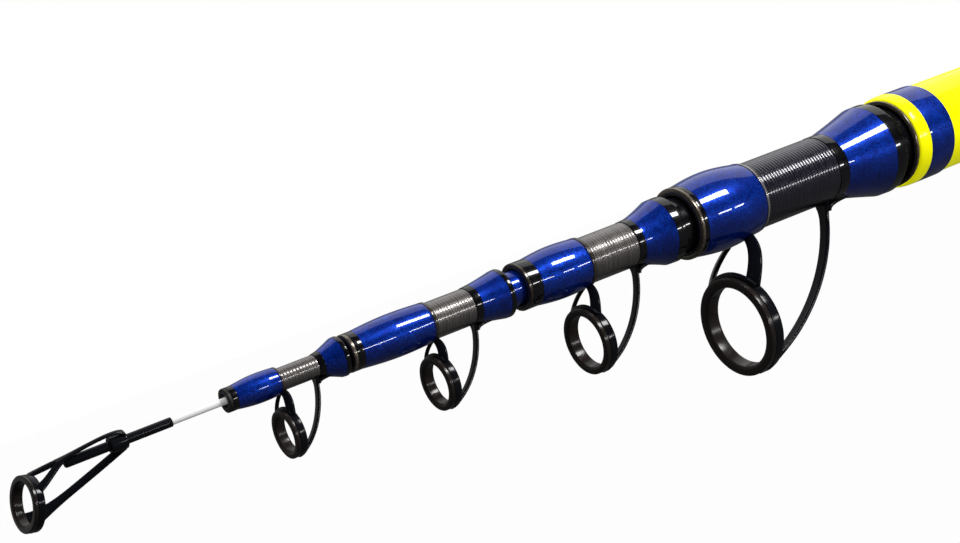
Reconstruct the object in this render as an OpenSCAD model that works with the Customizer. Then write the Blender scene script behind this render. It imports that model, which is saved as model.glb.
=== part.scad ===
// Telescopic surf rod, closed: a yellow butt tube, four blue guide sections and a white tip.
// The rod lies along X from the butt cap's face to the tip ring, with the guides below it.

/* [Butt tube] */
// Length of the butt tube
butt_len = 640; // [560:5:800]
// Outside radius of the butt tube at its rear end
butt_rear_r = 14; // [13.8:0.1:16]
// Outside radius of the butt tube at its mouth
butt_tip_r = 12.5; // [12:0.05:12.6]
// Wall of the butt tube
butt_wall = 1.6; // [1.3:0.05:1.8]
// Width of the yellow band behind the mouth
yellow_w = 4; // [3:0.1:6]
// Width of the raised blue band
blue_w = 9.1; // [6:0.1:14]
// Height of both bands over the tube
band_t = 0.4; // [0.4:0.05:1]
// Bevel of the butt tube at its mouth
bevel = 0.45; // [0.3:0.05:0.6]

/* [Sections 2 to 5] */
// Outside radius of each blank at its thin end
blank_tip_r = [8.2, 5.2, 3.95, 2.1]; // [2:0.05:9]
// Wall of each blank
blank_wall = [0.7, 0.6, 0.55, 0.5]; // [0.4:0.05:1]
// Gap between a mouth and the next bell, closed
bell_gap = [4.5, 4.1, 4, 1]; // [0.5:0.1:6]
// Width of the black stop rim
stop_w = [3.6, 3, 1.4, 1.2]; // [1:0.1:5]
// Width of the blue bell
bell_w = [14.6, 8.3, 7.2, 4.3]; // [4:0.1:18]
// Width of the black band in front of the bell
rear_trim_w = [3.4, 2.1, 1.9, 1.5]; // [1:0.1:5]
// Width of the thread wrap
wrap_w = [27, 15, 11.7, 9.8]; // [8:0.1:32]
// Width of the blue front collar
barrel_w = [20.1, 14.8, 18.7, 10.3]; // [8:0.1:24]
// Width of the black band behind the mouth
front_trim_w = [2.2, 4, 2.8, 2.3]; // [2:0.1:5]
// Radius of the stop rim
stop_r = [12.5, 8.5, 5.95, 4.65]; // [4:0.05:13]
// Thickness of the collar at the bell's narrow end
neck_t = [0.6, 0.7, 0.75, 0.85]; // [0.5:0.05:1.2]
// Thickness of the thread wrap
wrap_t = [0.5, 0.5, 0.45, 0.45]; // [0.2:0.05:0.6]
// Thickness of the front collar at its rear end
barrel_t = [1.15, 1.05, 0.85, 1]; // [0.75:0.05:1.5]
// Swell of the front collar between its ends
bulge = [1, 0.5, 0.45, 0.35]; // [0:0.05:1.2]
// Hollow of the bell's flare, 1 for a straight cone
bell_curve = [1.1, 1.3, 1.2, 1.1]; // [1:0.05:2]
// Thickness of the rim at the mouth
rim_t = [1.2, 0.65, 0.5, 0.6]; // [0.3:0.05:1.4]
// Depth of the bell's neck in the mouth behind it
plug_len = 12; // [6:0.5:20]
// Length over which two sections grip when drawn out
jam_len = 70; // [50:1:90]

/* [Guides] */
// Front face of each ring, counted back from its section's mouth
ring_back = [6.2, 13.2, 18.8, 10.3]; // [4:0.1:22]
// Depth of each ring's centre below the rod's axis
ring_low = [29.6, 18.2, 13.85, 11.5]; // [10:0.05:34]
// Outside radius of each guide ring
ring_r = [12.9, 8.2, 6.4, 5.5]; // [5:0.05:14]
// Hole radius of each guide ring
ring_hole_r = [10.4, 6.45, 4.8, 4]; // [3.5:0.05:11.5]
// Depth of each ring from front to back
ring_d = [4.4, 3.5, 3, 2.7]; // [2:0.1:5]
// Sheet thickness of each guide frame
sheet_t = [1.2, 1, 0.9, 0.85]; // [0.6:0.05:1.4]
// Width of each rear leg
leg_w = [3.2, 2.2, 1.9, 1.8]; // [1.5:0.1:3.6]
// Where each rear leg meets the blank, counted back from its ring
leg_top = [41.3, 21.2, 14.9, 11.5]; // [10:0.1:44]
// Half the distance between the two front struts at their top
strut_y = [2.4, 1, 0.8, 0.7]; // [0.5:0.05:2.6]
// Height of the sheet between the struts' top and the blank
strut_apex = [0.6, 0.6, 0.5, 0.5]; // [0.4:0.1:2]
// How far the front struts lean back from the ring to the blank
strut_lean = [9.8, 4.5, 2.2, 1.7]; // [1:0.1:12]
// How far the front struts bow out, as a share of the ring's radius
strut_bow = [0.75, 0.64, 0.7, 0.72]; // [0.6:0.01:0.85]
// Width of each front strut
strut_w = [3.4, 2.3, 2, 1.9]; // [1.4:0.1:3.6]
// Thickness of the thin ground feet
foot_t = [0.7, 0.5, 0.45, 0.45]; // [0.35:0.05:0.9]

/* [Tip section] */
// Radius of the white tip at its thin end
tip_end_r = 0.75; // [0.6:0.05:0.8]
// White tip that shows in front of section 5
tip_show = 12.5; // [6:0.5:30]
// Length of the tip-top's tube
top_tube_len = 24.2; // [16:0.2:30]
// Outside radius of the tip-top's tube
top_tube_r = 1.05; // [1.05:0.05:1.4]
// Length of the tip-top's collar
top_collar_len = 3.8; // [3:0.1:6]
// Outside radius of the tip ring
top_ring_r = 5.9; // [5:0.05:6.4]
// Hole radius of the tip ring
top_hole_r = 4.5; // [3.8:0.05:4.9]
// Depth of the tip ring's centre below the axis
top_ring_low = 6; // [5.5:0.05:7]
// Reach of the tip ring in front of the tube
top_ring_out = 9.7; // [8:0.1:12]
// Tilt of the tip ring
top_tilt = 15; // [5:1:20]
// Turn of the tip-top about the rod's axis, against the other guides
top_turn = 36.6; // [0:0.1:60]

/* [Reel seat] */
// Rear end of the reel seat, counted from the cap's face
seat_x = 330; // [300:1:380]
// Length of the reel seat's barrel
seat_len = 158; // [150:1:180]
// Outside radius of the reel seat's barrel
seat_r = 15.2; // [14.8:0.1:16.5]
// Length of each hood
hood_len = 30; // [24:1:32]
// Height of the hoods' pocket for the reel's foot
pocket_h = 6; // [5:0.1:7]
// Wall of the hoods
hood_wall = 1.7; // [1.4:0.1:2.2]
// Gap between the hoods' faces at rest
hood_open = 62; // [56:1:70]
// Length of the lock nut
nut_len = 16; // [12:0.5:18]
// Outside radius of the lock nut
nut_r = 18.6; // [18:0.1:20]

/* [Grips and cap] */
// Length of the rear grip
rear_grip_len = 150; // [100:5:200]
// Length of the fore grip
fore_grip_len = 70; // [40:5:90]
// Thickness of both grips
grip_t = 3.2; // [2.5:0.1:4]
// Width of the winding checks
check_w = 2.4; // [1.5:0.1:4]
// Radius of the screw cap
cap_r = 17; // [16.6:0.1:18]
// Thickness of the cap's flange
cap_flange = 8; // [7:0.5:10]
// Length of the cap's spigot
spigot_len = 17; // [14:0.5:20]
// Radius of the cap's spigot
spigot_r = 11.5; // [11.3:0.05:11.6]
// Thickness of the rubber pad on the cap
pad_t = 4; // [3:0.1:6]
// Depth of the pad's seat in the cap
pad_sink = 1.5; // [1:0.1:2]
// Radius of the rubber pad
pad_r = 13; // [11:0.1:14]
// Thickness of the sealing ring
seal_d = 1.6; // [1.2:0.1:2]
// Thickness of the foam cushion in the cap
cushion_t = 6; // [4:0.5:8]

/* [Fits] */
// Glue gap between bonded pieces
glue = 0.04; // [0.02:0.01:0.06]
// Gap round a section where it grips, drawn out
jam_gap = 0.04; // [0.02:0.01:0.08]
// Gap between the closed sections and the cushion
base_gap = 0.3; // [0.2:0.05:0.6]
// Gap between a bell's neck and the mouth round it
plug_gap = 0.4; // [0.3:0.05:0.6]
// Running gap of the hood, the nut and the spigot
run_gap = 0.25; // [0.2:0.05:0.4]

/* [Hidden] */
rim_len = 0.9;
flange_x = pad_t - pad_sink;
tube_x = flange_x + cap_flange + seal_d + 2*glue;
mouth_0 = tube_x + butt_len;
bevel_x = mouth_0 - rim_len - yellow_w;
cushion_x = flange_x + cap_flange + spigot_len;
base_x = cushion_x + cushion_t + base_gap;
bell_x = [for (i = [0:3]) mouth(i) + bell_gap[i]];
blue_x = [for (i = [0:3]) bell_x[i] + stop_w[i]];
trim_x = [for (i = [0:3]) blue_x[i] + bell_w[i]];
wrap_x = [for (i = [0:3]) trim_x[i] + rear_trim_w[i]];
barrel_x = [for (i = [0:3]) wrap_x[i] + wrap_w[i]];
front_x = [for (i = [0:3]) barrel_x[i] + barrel_w[i]];
ring_x = [for (i = [0:3]) mouth(i + 1) - ring_back[i]];
insert_lip = 0.35;
tip_x = mouth(4) + tip_show + top_tube_len - 1;
top_x = mouth(4) + tip_show;
top_front = top_x + top_tube_len;
top_ring_x = top_front + top_ring_out;
collar_x = top_x + 0.43*top_tube_len;
collar_r = top_tube_r + 0.75;
top_d = 2.4;
hood_x = seat_x + hood_len + hood_open;
nut_x = hood_x + hood_len + run_gap;
groove_w = 3;
groove_d = 0.9;
bush_len = spigot_len + 2;

// How far one section and its collars reach, from the mouth behind to its own mouth.
function show(i) = bell_gap[i] + stop_w[i] + bell_w[i] + rear_trim_w[i] + wrap_w[i] + barrel_w[i]
    + front_trim_w[i];

// Station of a tube's mouth: 0 is the butt, 1 to 4 are sections 2 to 5.
function mouth(j) = j == 0 ? mouth_0 : mouth(j - 1) + show(j - 1);

// Length of a tube from the closed sections' common base to its mouth.
function reach(j) = mouth(j) - base_x;

// Bore radius of a tube at its mouth.
function bore_tip(j) = j == 0 ? butt_tip_r - butt_wall : blank_tip_r[j - 1] - blank_wall[j - 1];

// Taper of a tube, as radius lost per millimetre towards the tip.
function taper(j) = j == 0 ? (butt_rear_r - butt_tip_r)/butt_len
    : (jam_end_r(j) - thin_r(j))/(far_x(j) - base_x - jam_len);

// Thin end of a section: its radius and its station.
function thin_r(j) = j == 5 ? tip_end_r : blank_tip_r[j - 1];
function far_x(j) = j == 5 ? tip_x : mouth(j);

// Bore radius of a tube at a station.
function bore(j, x) = bore_tip(j) + taper(j)*(mouth(j) - x);

// Base radius of a section: it grips in the tube behind it when drawn out.
function base_r(j) = bore(j - 1, mouth(j - 1) - jam_len) - jam_gap;
function jam_end_r(j) = base_r(j) - taper(j - 1)*jam_len;

// Outside radius of a tube at a station in front of its grip length.
function skin(j, x) = j == 0 ? butt_tip_r + taper(0)*(mouth_0 - x)
    : thin_r(j) + taper(j)*(far_x(j) - x);

// Outside radius of the same tube with its film of glue.
function seat(j, x) = skin(j, x) + glue;

// Point on a cubic curve through two ends and two handles.
function curve(a, b, c, d, t) = pow(1 - t, 3)*a + 3*pow(1 - t, 2)*t*b + 3*(1 - t)*t*t*c + t*t*t*d;

// Outline of a strip of the given width that follows a path in a plane.
function unit(v) = v/norm(v);
function side(p, k) = let (a = p[max(k - 1, 0)], b = p[min(k + 1, len(p) - 1)], u = unit(b - a))
    [-u[1], u[0]];
function strip(p, w) = let (n = len(p) - 1)
    concat([for (k = [0:n]) p[k] + w/2*side(p, k)], [for (k = [n:-1:0]) p[k] - w/2*side(p, k)]);

// Solid turned about the rod's axis from points of station and radius.
module spin(points) rotate([0, 90, 0]) rotate_extrude($fn = 96)
    polygon([for (p = points) [p[1], p[0]]]);

// Part of such a solid, centred on the rod's underside.
module spin_part(points, half) rotate([0, 90, 0]) rotate([0, 0, -half])
    rotate_extrude(angle = 2*half, $fn = 96) polygon([for (p = points) [p[1], p[0]]]);

// Sleeve with a bore that follows tube j and an outline of station and radius.
module sleeve(j, outline) spin(concat(outline,
    [[outline[len(outline) - 1][0], seat(j, outline[len(outline) - 1][0])],
     [outline[0][0], seat(j, outline[0][0])]]));

// Butt tube with its tapered bore and a bevel at the mouth.
module butt_blank() color("yellow") spin([
    [tube_x, bore(0, tube_x)], [tube_x, skin(0, tube_x)], [bevel_x, skin(0, bevel_x)],
    [mouth_0 - rim_len, butt_tip_r - bevel], [mouth_0 - rim_len, bore_tip(0)]]);

// Bronze rim on the raw edge of the butt tube.
module butt_rim() color("sienna") let (r = butt_tip_r - bevel) spin([
    [mouth_0 - rim_len + glue, bore_tip(0)], [mouth_0 - rim_len + glue, r], [mouth_0 - 0.2, r],
    [mouth_0, r - 0.15], [mouth_0, bore_tip(0)]]);

// Yellow band over the bevel, rounded off towards the mouth.
module butt_yellow_band() color("yellow") let (a = bevel_x, b = mouth_0 - rim_len,
        lo = butt_tip_r - bevel, hi = skin(0, a) + band_t) spin(concat(
    [[b, lo + glue], [a, seat(0, a)]],
    [for (t = [0:15:90]) [a + (b - a)*sin(t), lo + 0.1 + (hi - lo - 0.1)*pow(cos(t), 0.7)]]));

// Raised blue band of thread under varnish.
module butt_blue_band() color("mediumblue") let (b = bevel_x - glue, a = b - blue_w)
    spin([[a, skin(0, a) + 3*glue], [a, skin(0, a) + 5*glue], [a + 0.5, skin(0, a) + band_t],
        [b, skin(0, b) + band_t], [b, skin(0, b) + 3*glue]]);

// Blank of a section: grip length at the base, then one taper to the mouth.
module section_blank(j) color("navy") spin([
    [base_x, bore(j, base_x)], [base_x, base_r(j)], [base_x + jam_len, jam_end_r(j)],
    [mouth(j), thin_r(j)], [mouth(j), bore_tip(j)]]);

// Bronze ring round the mouth of a section.
module mouth_ring(j) color("sienna") let (b = mouth(j), t = rim_t[j - 1])
    sleeve(j, [[b - rim_len, skin(j, b) + t], [b - 0.25, skin(j, b) + t], [b, skin(j, b) + 0.75*t]]);

// Outline of the front collar: it swells between its rear end and the mouth.
function barrel_out(j, u) = let (i = j - 1)
    skin(j, mouth(j)) + barrel_t[i] + (rim_t[i] - barrel_t[i])*u + bulge[i]*sin(180*u);

// Blue front collar, wound over the guide's front foot.
module front_collar(j) color("mediumblue") let (i = j - 1, a = barrel_x[i], w = barrel_w[i]) difference() {
    sleeve(j, [for (k = [0:12]) [a + w*k/12, barrel_out(j, k/12)]]);
    guide_space(j);
}

// Black bands on both sides: behind the mouth ring and in front of the bell.
module trim_bands(j) color("black") let (i = j - 1, a = front_x[i] + glue, b = mouth(j) - rim_len - glue)
    difference() {
        union() {
            sleeve(j, [[a, barrel_out(j, 1)], [b, skin(j, b) + rim_t[i]]]);
            sleeve(j, [[trim_x[i] + glue, skin(j, trim_x[i]) + neck_t[i]],
                [wrap_x[i] - glue, skin(j, wrap_x[i]) + wrap_t[i] + 0.1]]);
        }
        guide_space(j);
    }

// Thread wound round the blank between the two feet.
module thread_wrap(j) color("dimgray") let (i = j - 1, a = wrap_x[i], b = barrel_x[i] - glue) difference() {
    sleeve(j, [[a, skin(j, a) + wrap_t[i]], [b, skin(j, b) + wrap_t[i]]]);
    guide_space(j);
}

// Blue bell collar over the rear foot, with the neck that sits in the mouth behind it.
module bell(j) color("mediumblue") let (i = j - 1, a = blue_x[i], w = bell_w[i], p = bell_x[i],
        q = mouth(i) - plug_len, r = bore_tip(i) - plug_gap) difference() {
    sleeve(j, concat(
        [[q, skin(j, q) + 0.3], [q + 2, min(r, skin(j, q) + 0.9)], [mouth(i) - 3, r], [p - glue, r],
         [p - glue, stop_in(j)], [a + glue, stop_in(j)]],
        [for (k = [0:12]) [a + glue + (w - glue)*k/12, bell_out(j, k/12)]]));
    guide_space(j);
}

// Radius of the bell under the stop rim, and of its flare from the rim to the narrow end.
function stop_in(j) = stop_r[j - 1] - 1.1*neck_t[j - 1];
function bell_out(j, u) = let (n = skin(j, trim_x[j - 1]) + neck_t[j - 1])
    n + (stop_r[j - 1] - 0.1 - n)*pow(1 - u, bell_curve[j - 1]);

// Black stop rim at the rear of the bell.
module stop_rim(j) color("black") let (i = j - 1, a = bell_x[i], b = blue_x[i], r = stop_r[i]) spin([
    [a, stop_in(j) + glue], [a, r - 0.35], [a + 0.35, r], [b, r - 0.1], [b, stop_in(j) + glue]]);

// Path of the rear leg in the rod's upright plane: from the ring's underside back and up.
function leg_path(i) = let (s = [ring_x[i] - 0.6*ring_d[i], -ring_low[i] - ring_r[i] + 0.2*sheet_t[i]],
        t = [ring_x[i] - leg_top[i], -leg_root(i)], l = s[0] - t[0], h = t[1] - s[1])
    [for (k = [0:20]) curve(s, s + [-0.49*l, 0.107*h], t + [0.068*l, -0.456*h], t, k/20)];
function leg_root(i) = skin(i + 1, ring_x[i] - leg_top[i]) + 0.3*foot_t[i];

// Outline of that leg from below: one width, then a flare towards the ring.
function leg_plan(i, w) = let (b = ring_x[i] - 0.5*ring_d[i], l = 0.3*leg_top[i], f = 0.3*ring_r[i] - leg_w[i]/2)
    concat([[b - 2*leg_top[i], -w]], [for (k = [0:4]) [b - l + l*k/4, -w - f*k*k/16]],
        [for (k = [4:-1:0]) [b - l + l*k/4, w + f*k*k/16]], [[b - 2*leg_top[i], w]]);

// Path of the front struts in the same plane: up from the ring and back into the blank.
function strut_foot(i) = ring_x[i] - 0.55*ring_d[i] - strut_lean[i];
function bend_path(i) = let (x = ring_x[i] - 0.55*ring_d[i], f = strut_foot(i),
        lo = -ring_low[i] + 0.55*ring_r[i], hi = -skin(i + 1, f) + 0.4, h = hi - lo)
    [for (k = [0:12]) curve([x, lo], [x, lo + 0.25*h], [f + 0.36*(x - f), hi - 0.36*h], [f, hi], k/12)];

// Path of one front strut seen along the rod: from the ring's shoulder up and in to its top.
function strut_path(i) = let (r = ring_r[i], a = [0.64*r, -ring_low[i] + 0.7*r],
        e = [strut_y[i], -skin(i + 1, strut_foot(i)) - strut_apex[i]], h = e[1] - a[1])
    [for (k = [0:12]) curve(a, [strut_bow[i]*r, a[1] + 0.33*h], [0.8*strut_bow[i]*r, a[1] + 0.74*h], e, k/12)];

// Guide foot: a thin plate curved round the blank, between two stations.
module foot(i, a, b, half, g) let (j = i + 1) spin_part([
    [a - g, seat(j, a) - 0.4], [a - g, seat(j, a) + 0.6*foot_t[i] + g], [a + 2, seat(j, a) + foot_t[i] + g],
    [b - 2, seat(j, b) + foot_t[i] + g], [b + g, seat(j, b) + 0.6*foot_t[i] + g], [b + g, seat(j, b) - 0.4]],
    half + g*57/seat(j, a));

// Legs and feet of one guide; g grows them all round for the space that the collars leave.
module guide_legs(i, g) let (x = ring_x[i], r = skin(i + 1, strut_foot(i)), w = strut_y[i] + strut_w[i]/2) {
    intersection() {
        rotate([90, 0, 0]) linear_extrude(2*ring_r[i], center = true) polygon(strip(leg_path(i), sheet_t[i] + 2*g));
        translate([0, 0, -3*ring_low[i]]) linear_extrude(3*ring_low[i]) polygon(leg_plan(i, leg_w[i]/2 + g));
    }
    intersection() {
        rotate([90, 0, 0]) linear_extrude(4*ring_r[i], center = true)
            polygon(strip(bend_path(i), sheet_t[i] + 2*g));
        translate([x - 20, 0, 0]) rotate([90, 0, 90]) linear_extrude(40) {
            for (s = [-1, 1])
                polygon([for (p = strip(strut_path(i), strut_w[i] + 2*g)) [s*p[0], p[1]]]);
            translate([-w - g, -r - strut_apex[i] - 0.3 - g]) square([2*(w + g), strut_apex[i] + 2]);
            translate([-0.6*ring_r[i], -ring_low[i] + 0.7*ring_r[i]]) square([1.2*ring_r[i], 0.35*ring_r[i]]);
        }
    }
    foot(i, strut_foot(i) - 0.1, front_x[i] - 2, asin(w/r), g);
    foot(i, blue_x[i] + 1, x - leg_top[i] + 1, asin(min(0.75, 1.1*leg_w[i]/r)), g);
}

// Space that the collars leave for a guide's legs and feet.
module guide_space(j) guide_legs(j - 1, glue);

// Guide frame: holder ring, two front struts, rear leg and both feet, pressed from one sheet.
module guide_frame(j) color("black") let (i = j - 1, x = ring_x[i], r = ring_r[i], d = ring_d[i],
        b = ring_hole_r[i] + 0.55*(r - ring_hole_r[i]) + glue) difference() {
    union() {
        guide_legs(i, 0);
        translate([0, 0, -ring_low[i]]) spin([[x - d, 0], [x - d, r - 0.5], [x - d + 0.5, r],
            [x - insert_lip*d - glue, r], [x - insert_lip*d - glue, 0]]);
    }
    translate([0, 0, -ring_low[i]]) spin([[x - d - 0.1, 0], [x - d - 0.1, b], [x + d, b], [x + d, 0]]);
    translate([0, 0, -ring_low[i]]) spin([[x - insert_lip*d - glue, 0], [x - insert_lip*d - glue, r + glue],
        [x + d, r + glue], [x + d, 0]]);
    spin([[bell_x[i], 0], [bell_x[i], seat(j, bell_x[i])], [mouth(j), seat(j, mouth(j))], [mouth(j), 0]]);
}

// Ceramic guide ring: a flange in front of the holder and a rounded bore.
module guide_ring(j) color("dimgray") let (i = j - 1) translate([0, 0, -ring_low[i]])
    insert(ring_x[i], ring_r[i], ring_hole_r[i], ring_d[i]);
module insert(x, r, h, d) let (b = h + 0.55*(r - h), c = 0.3*(r - h)) spin([
    [x - d, h + c], [x - d, b], [x - insert_lip*d, b], [x - insert_lip*d, r], [x - 0.2, r], [x, r - 0.2],
    [x, h + c], [x - 0.3*c, h + 0.3*c], [x - c, h], [x - d + c, h], [x - d + 0.3*c, h + 0.3*c]]);

// Thin white tip, one taper from its grip length to the end in the tip-top.
module tip_blank() color("white") spin([
    [base_x, 0], [base_x, base_r(5)], [base_x + jam_len, jam_end_r(5)], [tip_x, tip_end_r], [tip_x, 0]]);

// Tip-top's tube, glued over the thin end.
module top_tube() color("black") spin([
    [top_x, seat(5, top_x)], [top_x, top_tube_r - 0.1], [top_x + 0.2, top_tube_r], [top_front - 0.4, top_tube_r],
    [top_front, top_tube_r - 0.4], [top_front, 0], [tip_x + 0.1, 0], [tip_x + 0.1, seat(5, tip_x)]]);

// Turns its children into the tip ring's plane, about the ring's centre.
module top_place() translate([top_ring_x, 0, -top_ring_low]) rotate([0, -top_tilt, 0]) children();

// Point on the tip ring: height and side in the ring's plane, and depth behind its face.
function top_pt(v, w, d) = [top_ring_x - v*sin(top_tilt) - d*cos(top_tilt), w,
    -top_ring_low + v*cos(top_tilt) - d*sin(top_tilt)];

// Tip-top's frame: holder ring, two upper struts that join over the tube, a collar and a flat brace.
module top_frame() color("black") rotate([-top_turn, 0, 0]) let (r = top_ring_r, h = top_hole_r, d = top_d, b = h + 0.55*(r - h) + glue,
        c = top_tube_r + glue, s = 0.9, low = top_pt(-0.96*r, 0, 0.7*d), e = collar_x + top_collar_len)
    difference() {
        union() {
            spin([[collar_x, c], [collar_x, collar_r], [e, collar_r], [e, c]]);
            rotate([90, 0, 0]) linear_extrude(1.6, center = true)
                polygon(strip([[collar_x + 0.6, collar_r - 0.2], [collar_x + 2, collar_r + 0.4], [e, collar_r + 0.5],
                    [e + 2, collar_r + 0.3], [top_front - 3, top_tube_r + 0.55], [top_front + 1.2, top_tube_r - 0.1]], s));
            for (k = [-1, 1]) top_strut([top_front + 0.6, 0.4*k, top_tube_r],
                top_pt(0.88*r, 0.44*r*k, 0.7*d), s);
            rotate([90, 0, 0]) linear_extrude(2.3, center = true)
                polygon(strip([[collar_x + 0.4, -collar_r + 0.3], [e - 0.6, -collar_r - 0.1], [low[0], low[2]]], s));
            top_place() spin([[-d, 0], [-d, r - 0.35], [0.35 - d, r], [-0.35*d - glue, r], [-0.35*d - glue, 0]]);
        }
        top_place() spin([[-d - 0.05, 0], [-d - 0.05, b], [d, b], [d, 0]]);
        top_place() spin([[-0.35*d - glue, 0], [-0.35*d - glue, r + 1], [d, r + 1], [d, 0]]);
        spin([[top_x, 0], [top_x, c], [top_front + 0.3, c], [top_front + 0.3, 0]]);
    }

// Square bar between two points.
module top_strut(a, b, w) let (v = b - a, l = norm(v)) translate(a)
    rotate([0, acos(v[2]/l), atan2(v[1], v[0])]) translate([-w/2, -w/2, 0]) cube([w, w, l]);

// Ceramic tip ring.
module top_ring() color("dimgray") rotate([-top_turn, 0, 0]) top_place() insert(0, top_ring_r, top_hole_r, top_d);

// Reel seat's barrel with a thread at its front end and a groove on top that keeps the hood straight.
module seat_barrel() color("black") let (a = seat_x, b = seat_x + seat_len, t = hood_x - 6, n = floor((b - t - 2)/2))
    difference() {
        sleeve(0, concat([[a, seat_r], [t, seat_r]],
            [for (k = [0:n - 1], q = [0:3]) [t + 2*k + [0.3, 0.8, 1.2, 1.7][q], seat_r - [0, 0.5, 0.5, 0][q]]],
            [[b - 0.6, seat_r], [b, seat_r - 0.6]]));
        translate([a + hood_len + 8, -groove_w/2, seat_r - groove_d]) cube([seat_len, groove_w, 3]);
    }

// Hood shape: a sleeve with a hump below that takes one end of the reel's foot.
module hood_body(r, l) {
    spin([[0, r], [0, seat_r + 0.9], [0.8, seat_r + hood_wall], [l - 0.8, seat_r + hood_wall],
        [l, seat_r + 0.9], [l, r]]);
    spin_part([[0.4, r + 0.7], [0.4, seat_r + 2.6], [0.3*l, seat_r + 0.85*pocket_h + hood_wall],
        [0.7*l, seat_r + pocket_h + hood_wall], [l - 0.4, seat_r + pocket_h + hood_wall], [l - 0.4, r + 0.7]], 42);
}
module hood_pocket(r, l) spin_part([[0.22*l, r], [0.22*l, r + 0.6*pocket_h], [0.55*l, seat_r + pocket_h],
    [l + 1, seat_r + pocket_h], [l + 1, r]], 33);

// Fixed hood, glued on the rear of the barrel.
module fixed_hood() color("black") translate([seat_x, 0, 0]) difference() {
    hood_body(seat_r + glue, hood_len);
    hood_pocket(seat_r - 0.5, hood_len);
}

// Sliding hood, with a rib in the barrel's groove.
module sliding_hood() color("black") translate([hood_x, 0, 0]) {
    translate([hood_len, 0, 0]) mirror([1, 0, 0]) difference() {
        hood_body(seat_r + run_gap, hood_len);
        hood_pocket(seat_r, hood_len);
    }
    translate([2, -groove_w/2 + run_gap, seat_r - groove_d + run_gap])
        cube([hood_len - 4, groove_w - 2*run_gap, groove_d + 0.5]);
}

// Knurled lock nut in front of the sliding hood.
module lock_nut() color("black") translate([nut_x, 0, 0]) difference() {
    spin([[0, seat_r + run_gap], [0, seat_r + hood_wall], [1.5, nut_r], [nut_len - 1.5, nut_r],
        [nut_len, nut_r - 1.5], [nut_len, seat_r + run_gap]]);
    for (k = [0:17]) rotate([20*k, 0, 0]) translate([3, 0, nut_r + 1]) rotate([0, 90, 0])
        cylinder(r = 1.9, h = nut_len, $fn = 24);
}

// Foam grips, cylindrical with rounded ends.
module grip(a, b) let (r = skin(0, a) + grip_t) sleeve(0, concat(
    [for (t = [0:18:90]) [a + 2*(1 - cos(t)), r - 2 + 2*sin(t)]],
    [for (t = [90:-18:0]) [b - 2*(1 - cos(t)), r - 2 + 2*sin(t)]]));
module rear_grip() color("dimgray") grip(tube_x, tube_x + rear_grip_len);
module fore_grip() color("dimgray") grip(seat_x + seat_len + glue, seat_x + seat_len + fore_grip_len);

// Bright rings that close the front ends of both grips.
module winding_checks() color("silver")
    for (a = [tube_x + rear_grip_len + glue, seat_x + seat_len + fore_grip_len + glue])
        sleeve(0, [[a, skin(0, a) + 1.8], [a + 0.6*check_w, skin(0, a) + 1.6], [a + check_w, skin(0, a) + 0.6]]);

// Threaded bush glued into the rear end of the butt tube.
module butt_bush() color("silver") let (a = tube_x, b = tube_x + bush_len) spin([
    [a, spigot_r + run_gap], [a, bore(0, a) - glue], [b, bore(0, b) - glue], [b, spigot_r + run_gap]]);

// Sealing ring between the cap and the tube.
module seal() color("black") translate([flange_x + cap_flange + glue + seal_d/2, 0, 0]) rotate([0, 90, 0])
    rotate_extrude($fn = 96) translate([butt_rear_r - butt_wall/2, 0]) circle(d = seal_d, $fn = 32);

// Screw cap: a scalloped flange with a seat for the pad, and a spigot with thread grooves.
module butt_cap() color("black") let (a = flange_x, b = flange_x + cap_flange, n = floor(spigot_len/2) - 2)
    difference() {
        spin(concat([[a, 0], [a, cap_r - 1.5], [a + 1.5, cap_r], [b - 1, cap_r], [b, cap_r - 1], [b, spigot_r]],
            [for (k = [0:n], q = [0:3]) [b + 2 + 2*k + [0.3, 0.8, 1.2, 1.7][q], spigot_r - [0, 0.45, 0.45, 0][q]]],
            [[cushion_x - 0.5, spigot_r], [cushion_x, spigot_r - 0.5], [cushion_x, 0]]));
        spin([[a - 1, 0], [a - 1, pad_r + glue], [a + pad_sink, pad_r + glue], [a + pad_sink, 0]]);
        for (k = [0:15]) rotate([22.5*k, 0, 0]) translate([a - 1, 0, cap_r + 1.4]) rotate([0, 90, 0])
            cylinder(r = 2.2, h = cap_flange + 2, $fn = 24);
    }

// Rubber pad on the cap.
module cap_pad() color("black") spin([[0, 0], [0, pad_r - 1.5], [0.45, pad_r - 0.45], [1.5, pad_r],
    [flange_x + pad_sink, pad_r], [flange_x + pad_sink, 0]]);

// Foam cushion that the closed sections stand on.
module cap_cushion() color("gray") spin([[cushion_x, 0], [cushion_x, spigot_r - 0.5],
    [cushion_x + cushion_t - 0.5, spigot_r - 0.5], [cushion_x + cushion_t, spigot_r - 1], [cushion_x + cushion_t, 0]]);

KINDS = ["blank", "mouth_ring", "front_collar", "trim_bands", "thread_wrap", "bell", "stop_rim",
    "guide_frame", "guide_ring"];

for (j = [1:4]) {
    section_blank(j);
    mouth_ring(j);
    front_collar(j);
    trim_bands(j);
    thread_wrap(j);
    bell(j);
    stop_rim(j);
    guide_frame(j);
    guide_ring(j);
}
tip_blank();
top_tube();
top_frame();
top_ring();
butt_blank();
butt_rim();
butt_yellow_band();
butt_blue_band();
seat_barrel();
fixed_hood();
sliding_hood();
lock_nut();
rear_grip();
fore_grip();
winding_checks();
butt_bush();
seal();
butt_cap();
cap_pad();
cap_cushion();
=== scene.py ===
"""Looks of a closed telescopic fishing rod: yellow butt, four blue guide sections and a white tip."""

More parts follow.
